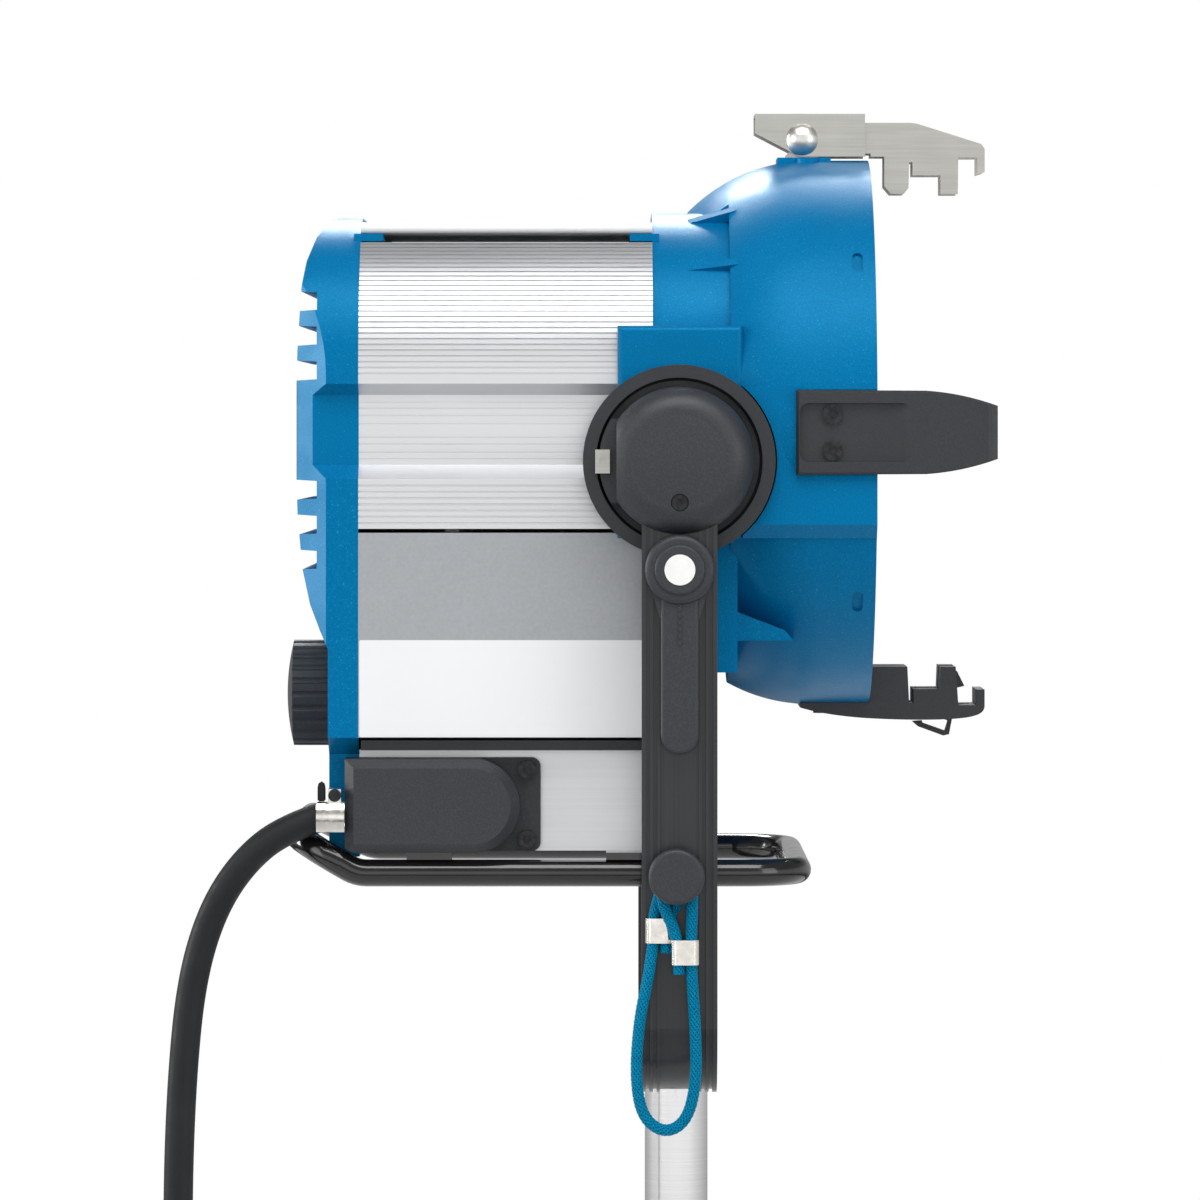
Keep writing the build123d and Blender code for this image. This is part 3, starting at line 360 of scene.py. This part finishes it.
def black_polymer():
    """Moulded black polymer with a fine spark-eroded grain."""
    look = Look("black_polymer", (0.042, 0.045, 0.05), 0.48)
    grain = look.cells(1300)
    look.color_by(grain, (0.1, (0.018, 0.021, 0.025)), (0.8, (0.03, 0.034, 0.04)))
    look.roughness_by(look.noise(35, 3), 0.42, 0.54)
    return look.bump_by(grain, 0.00006, 0.5)


def white_polymer():
    look = Look("white_polymer", (0.86, 0.86, 0.85), 0.35)
    look.color_by(look.noise(200, 2), (0.3, (0.84, 0.84, 0.83)), (0.7, (0.89, 0.89, 0.88)))
    look.roughness_by(look.noise(90, 2), 0.3, 0.4)
    return look.bump_by(look.noise(900, 2), 0.00003, 0.3)


def stainless_steel():
    """Stamped stainless sheet: rolled grain along X, faint warm tint."""
    look = Look("stainless_steel", (0.74, 0.73, 0.69), 0.34, 1.0)
    grain = look.noise(60, 3, (0.4, 14, 14))
    look.color_by(grain, (0.25, (0.46, 0.455, 0.42)), (0.75, (0.54, 0.535, 0.5)))
    look.roughness_by(look.noise(80, 3), 0.3, 0.4)
    return look.bump_by(grain, 0.00001, 0.4)


def zinc_steel():
    look = Look("zinc_steel", (0.5, 0.5, 0.49), 0.34, 1.0)
    look.color_by(look.noise(320, 3), (0.3, (0.42, 0.42, 0.41)), (0.7, (0.6, 0.6, 0.58)))
    look.roughness_by(look.noise(200, 3), 0.28, 0.42)
    return look.bump_by(look.noise(900, 2), 0.00003, 0.4)


def black_screw():
    look = Look("black_screw", (0.02, 0.02, 0.022), 0.3, 0.6)
    look.color_by(look.noise(500, 2), (0.3, (0.014, 0.014, 0.016)), (0.7, (0.035, 0.036, 0.04)))
    look.roughness_by(look.noise(300, 2), 0.24, 0.38)
    return look.bump_by(look.noise(1500, 2), 0.00003, 0.4)


def polished_steel():
    """Bright turned steel with faint rings from the lathe."""
    look = Look("polished_steel", (0.78, 0.78, 0.79), 0.15, 1.0)
    rings = look.noise(25, 2, (0.3, 0.3, 40))
    look.color_by(rings, (0.3, (0.75, 0.75, 0.76)), (0.7, (0.82, 0.82, 0.83)))
    look.roughness_by(rings, 0.12, 0.19)
    return look.bump_by(rings, 0.000005, 0.3)


def satin_steel():
    """Turned rivet heads, blasted to a satin finish."""
    look = Look("satin_steel", (0.74, 0.73, 0.7), 0.32, 1.0)
    look.color_by(look.noise(300, 2), (0.3, (0.7, 0.69, 0.66)), (0.7, (0.78, 0.77, 0.74)))
    look.roughness_by(look.noise(160, 3), 0.28, 0.38)
    return look.bump_by(look.noise(1200, 2), 0.00002, 0.3)


def crimped_nickel():
    """Nickel sleeve with shallow dents from crimping."""
    look = Look("crimped_nickel", (0.78, 0.75, 0.7), 0.2, 1.0)
    look.color_by(look.noise(240, 3), (0.3, (0.68, 0.66, 0.61)), (0.7, (0.85, 0.83, 0.78)))
    look.roughness_by(look.noise(400, 3), 0.14, 0.28)
    return look.bump_by(look.noise(170, 2), 0.0002, 0.5)


def reflector_metal():
    """Bright aluminium with pressed facets."""
    look = Look("reflector_metal", (0.88, 0.89, 0.9), 0.12, 1.0)
    facets = look.cells(85)
    look.color_by(facets, (0.0, (0.84, 0.85, 0.86)), (0.9, (0.92, 0.93, 0.94)))
    look.roughness_by(look.noise(60, 2), 0.08, 0.16)
    return look.bump_by(facets, 0.0012, 0.7)


def lens_glass():
    look = Look("lens_glass", (0.97, 0.99, 0.985), 0.03, Transmission_Weight=1.0, IOR=1.5)
    look.roughness_by(look.noise(70, 3), 0.015, 0.06)
    return look.bump_by(look.noise(120, 2), 0.00005, 0.2)


def bulb_glass():
    look = Look("bulb_glass", (0.98, 0.98, 1.0), 0.02, Transmission_Weight=1.0, IOR=1.46)
    return look.roughness_by(look.noise(90, 2), 0.01, 0.04)


def ceramic():
    look = Look("ceramic", (0.82, 0.8, 0.74), 0.45)
    look.color_by(look.noise(300, 4), (0.3, (0.77, 0.75, 0.69)), (0.7, (0.86, 0.84, 0.79)))
    look.roughness_by(look.noise(120, 3), 0.38, 0.55)
    return look.bump_by(look.noise(800, 3), 0.00006, 0.5)


def silicone():
    look = Look("silicone", (0.42, 0.13, 0.09), 0.6)
    look.color_by(look.noise(250, 3), (0.3, (0.38, 0.11, 0.08)), (0.7, (0.46, 0.15, 0.1)))
    return look.bump_by(look.noise(900, 2), 0.00005, 0.4)


def rubber():
    """Black rubber cable jacket, slightly dusty."""
    look = Look("rubber", (0.01, 0.011, 0.012), 0.52, Specular_IOR_Level=0.3)
    look.color_by(look.noise(35, 4), (0.25, (0.006, 0.007, 0.008)), (0.75, (0.012, 0.0135, 0.015)))
    look.roughness_by(look.noise(150, 3), 0.45, 0.6)
    return look.bump_by(look.noise(1400, 3), 0.00005, 0.5)


def rope_fibre():
    """Bright blue polyester yarn."""
    look = Look("rope_fibre", (0.0, 0.21, 0.38), 0.5, Specular_Tint=(0.1, 0.6, 1.0, 1.0))
    look.color_by(look.noise(1600, 2), (0.25, (0.0, 0.15, 0.29)), (0.75, (0.0, 0.26, 0.46)))
    look.roughness_by(look.noise(900, 2), 0.42, 0.58)
    return look.bump_by(look.noise(4000, 2), 0.00006, 0.6)


def rope_core_painted_shade():
    """The rope's core, coloured dark as painted shade seen between its strands."""
    look = Look("rope_core_painted_shade", (0.0, 0.05, 0.13), 0.7)
    return look.color_by(look.noise(900, 2), (0.3, (0.0, 0.012, 0.03)), (0.7, (0.0, 0.03, 0.07)))


LOOKS = {
    blue_enamel: ["front_housing", "rear_cap"],
    extruded_aluminium: [
        "side_profile_left", "side_profile_right", "ignitor_housing", "lamp_carriage", "lens_holder",
        "lens_retaining_ring",
    ],
    sheet_aluminium: ["side_panel_left", "side_panel_right", "lower_front_cover"],
    white_lacquer: ["top_cover"],
    black_coating: [
        "brake_disc_left", "brake_disc_right", "side_bracket_left", "side_bracket_right", "bottom_bracket",
        "bottom_catch", "vent_baffle", "floor_plate",
    ],
    black_anodised: ["yoke_frame"],
    black_gloss: ["skid_frame", "skid_straps"],
    black_polymer: [
        "pivot_cover_left", "pivot_cover_right", "connection_cover", "focus_knob", "lock_lever",
        "ignitor_module", "connector_shell", "strap_post",
    ],
    white_polymer: ["lever_insert"],
    stainless_steel: ["top_latch_base", "top_latch_channel", "top_latch_arm", "tilt_index_blocks"],
    zinc_steel: ["spigot_bolt", "pivot_bolts", "tilt_brake", "focus_shaft", "guide_rods", "shaft_bushes"],
    black_screw: ["pivot_cover_screws", "case_screws", "bracket_fixings"],
    polished_steel: ["spigot", "connector_ring"],
    satin_steel: ["top_latch_rivet"],
    crimped_nickel: ["strap_ferrules", "cable_gland"],
    reflector_metal: ["reflector"],
    lens_glass: ["fresnel_lens"],
    bulb_glass: ["lamp_envelope"],
    ceramic: ["lamp_socket", "lamp_base", "connector_insert"],
    silicone: ["lens_gasket"],
    rubber: ["connector_boot"],
}


def dress_nodes():
    """Gives each CAD node its material, and returns the materials by the function that made them."""
    made = {}
    for make, names in LOOKS.items():
        material = make().material
        made[make] = material
        for name in names:
            node = nodes[name]
            node.data.materials.clear()
            node.data.materials.append(material)
    return made


# ---------------------------------------------------------------- cords
def make_cable(material):
    """The head cable: a tube from the lamp's clamp, hanging down from there on."""
    step, sides = 0.0025, 32
    line = even_line(spline_line("cable_line", CABLE_ROUTE, ROUTE_STEPS), step)
    vertices, faces = tube(line, side_frames(line), sides, CABLE_DIAMETER / 2)
    cable = new_piece("cable", vertices, faces)
    cable.data.materials.append(material)
    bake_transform(cable)
    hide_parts("head_cable")


def make_strap(fibre, core):
    """A braided rope: eight strands each way, woven over and under each other round a core."""
    pitch, strands, step = 0.018, 8, 0.0004
    mean_radius, weave, half_width, half_thick = 0.002, 0.0003, 0.0006, 0.00046
    core_sides, core_radius = 12, mean_radius - weave
    slope = atan2(2 * pi * mean_radius, pitch)
    line = even_line(spline_line("strap_line", STRAP_ROUTE, ROUTE_STEPS), step)
    frames = side_frames(line)
    vertices, faces = tube(line, frames, core_sides, core_radius)
    core_faces = len(faces)
    for way in (1, -1):
        for strand in range(strands):
            first = len(vertices)
            for i, (point, (side, up)) in enumerate(zip(line, frames)):
                turn = 2 * pi * i * step / pitch
                angle = 2 * pi * strand / strands + way * turn
                out = side * cos(angle) + up * sin(angle)
                round_way = up * cos(angle) - side * sin(angle)
                along = side.cross(up)
                across = round_way * cos(slope) - along * (way * sin(slope))
                centre = point + out * (mean_radius + way * weave * cos(2 * strands * turn))
                vertices += [
                    centre + across * half_width, centre + out * half_thick, centre - across * half_width,
                    centre - out * half_thick,
                ]
                if i:
                    faces += ring_faces(first + 4 * (i - 1), first + 4 * i, 4)
            faces.append(tuple(range(first, first + 4))[::-1])
            faces.append(tuple(range(len(vertices) - 4, len(vertices))))
    strap = new_piece("strap", vertices, faces)
    strap.data.materials.append(fibre)
    strap.data.materials.append(core)
    # The core tube's faces take the dark second material: painted shade between the strands.
    for polygon in strap.data.polygons[:core_faces]:
        polygon.material_index = 1
    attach(strap, "yoke")
    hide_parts("strap_cord")


# ---------------------------------------------------------------- small trim
def plate(name, outline, thickness, bevel, place):
    """A flat outline of (u, v) points, thickened, with rounded edges, put in place by a matrix."""
    shape = bmesh.new()
    face = shape.faces.new([shape.verts.new((u, v, 0)) for u, v in outline])
    lifted = bmesh.ops.extrude_face_region(shape, geom=[face])["geom"]
    top = [part for part in lifted if isinstance(part, bmesh.types.BMVert)]
    bmesh.ops.translate(shape, vec=(0, 0, thickness), verts=top)
    bmesh.ops.recalc_face_normals(shape, faces=shape.faces)
    bmesh.ops.bevel(shape, geom=shape.edges[:], offset=bevel, segments=2, affect="EDGES")
    shape.transform(place)
    mesh = bpy.data.meshes.new(name)
    shape.to_mesh(mesh)
    shape.free()
    return add_object(name, mesh)


def rounded(width, height, radius, steps=6):
    """Corner points of a rounded rectangle about the origin."""
    points = []
    for number, (sx, sy) in enumerate(((1, 1), (-1, 1), (-1, -1), (1, -1))):
        for k in range(steps + 1):
            angle = pi / 2 * (number + k / steps)
            centre_u, centre_v = sx * (width / 2 - radius), sy * (height / 2 - radius)
            points.append((centre_u + radius * cos(angle), centre_v + radius * sin(angle)))
    return points


def make_bands(material):
    """The plain white band along the lower part of each side panel."""
    below_axis, side_gap, foot_gap = 0.0914, 0.0004, 0.0004
    corner, thickness, bevel = 0.0008, 0.00025, 0.0001
    for side, way in (("left", 1), ("right", -1)):
        low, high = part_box(f"side_panel_{side}")
        top = OPTIC_Z - below_axis
        width, height = high.x - low.x - 2 * side_gap, top - low.z - foot_gap
        outer = high.y if way > 0 else low.y
        centre = Vector(((low.x + high.x) / 2, outer, (top + low.z) / 2))
        place = Matrix.Translation(centre) @ Matrix.Rotation(radians(-90 * way), 4, "X")
        outline = rounded(width, height, corner)
        band = plate(f"panel_band_{side}", outline, thickness, bevel, place)
        band.data.materials.append(material)
        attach(band, "head")


def make_gland_tab(material):
    """Rubber tab over the cable clamp's ear."""
    low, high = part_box("cable_gland")
    thickness, bevel = 0.006, 0.0005
    inset, below_top = 0.0004, 0.0056
    width, height, shoulder = 0.0034, 0.0086, 0.0062
    outline = [
        (0.0, 0.0), (width, 0.0), (width, shoulder), (0.0026, height), (0.0008, height), (0.0, 0.0070),
    ]
    corner = (low.x + inset, (low.y + high.y) / 2 + thickness / 2, high.z - below_top)
    place = Matrix.Translation(corner) @ Matrix.Rotation(radians(90), 4, "X")
    tab = plate("gland_tab", outline, thickness, bevel, place)
    tab.data.materials.append(material)
    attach(tab, "head")


# ---------------------------------------------------------------- stage
def make_stage():
    """A pale floor under everything, as the lamp is held up by its spigot."""
    clearance, radius, corners = 0.03, 1.6, 64
    floor_z = cad_box[0].z - clearance
    angles = [2 * pi * k / corners for k in range(corners)]
    rim = [(radius * cos(angle), radius * sin(angle), floor_z) for angle in angles]
    floor = new_piece("floor", rim, [tuple(range(corners))])
    look = Look("floor_paper", (0.6, 0.6, 0.6), 0.9)
    look.color_by(look.noise(3, 2), (0.3, (0.59, 0.59, 0.59)), (0.7, (0.61, 0.61, 0.61)))
    floor.data.materials.append(look.material)


def area_light(name, place, target, size, power):
    light = bpy.data.lights.new(name, "AREA")
    light.shape = "RECTANGLE"
    light.size, light.size_y = size
    light.energy = power
    lamp = add_object(name, light)
    lamp.location = place
    lamp.rotation_euler = (Vector(target) - Vector(place)).to_track_quat("-Z", "Y").to_euler()


def make_world():
    """Light from all round, brightest level with the lamp and on its right; plain white to the camera."""
    world = bpy.data.worlds.new("studio")
    world.use_nodes = True
    tree = world.node_tree
    background = tree.nodes["Background"]
    direction = tree.nodes.new("ShaderNodeTexCoord").outputs["Generated"]
    split = tree.nodes.new("ShaderNodeSeparateXYZ")
    side = tree.nodes.new("ShaderNodeMapRange")
    side.inputs["From Min"].default_value = -1
    side.inputs["To Min"].default_value = 1.25
    side.inputs["To Max"].default_value = 0.45
    height = tree.nodes.new("ShaderNodeMapRange")
    height.inputs["From Min"].default_value = -1
    ramp = tree.nodes.new("ShaderNodeValToRGB")
    greys = ((0.0, 0.05), (0.36, 0.12), (0.46, 0.95), (0.58, 0.95), (0.68, 0.3), (1.0, 0.25))
    fill_ramp(ramp, [(place, (grey, grey, grey)) for place, grey in greys])
    tree.links.new(direction, split.inputs[0])
    tree.links.new(split.outputs["Z"], height.inputs["Value"])
    tree.links.new(height.outputs["Result"], ramp.inputs["Fac"])
    tree.links.new(ramp.outputs["Color"], background.inputs["Color"])
    tree.links.new(split.outputs["Y"], side.inputs["Value"])
    tree.links.new(side.outputs["Result"], background.inputs["Strength"])
    surround = tree.nodes.new("ShaderNodeBackground")
    surround.inputs["Color"].default_value = (1, 1, 1, 1)
    path = tree.nodes.new("ShaderNodeLightPath")
    mix = tree.nodes.new("ShaderNodeMixShader")
    tree.links.new(path.outputs["Is Camera Ray"], mix.inputs[0])
    tree.links.new(background.outputs[0], mix.inputs[1])
    tree.links.new(surround.outputs[0], mix.inputs[2])
    tree.links.new(mix.outputs[0], tree.nodes["World Output"].inputs["Surface"])
    bpy.context.scene.world = world


def make_light():
    """Soft boxes above, to both sides and behind, all aimed at the lamp's middle."""
    middle = (-0.02, 0, 0.28)
    area_light("overhead", (0.1, -1.1, 1.8), middle, (1.8, 1.0), 26)
    area_light("front_box", (1.7, -1.5, 0.75), middle, (1.0, 1.5), 8)
    area_light("rear_box", (-1.8, -1.5, 0.7), middle, (1.0, 1.5), 8)
    area_light("far_box", (0.2, 1.5, 1.6), middle, (1.6, 0.5), 55)
    area_light("rim_box", (-2.0, 0.2, 0.6), middle, (0.4, 1.2), 18)
    bpy.context.scene.view_settings.view_transform = "Standard"


make_camera()
made = dress_nodes()
make_cable(made[rubber])
make_strap(rope_fibre().material, rope_core_painted_shade().material)
make_bands(made[white_lacquer])
make_gland_tab(made[rubber])
make_stage()
make_world()
make_light()
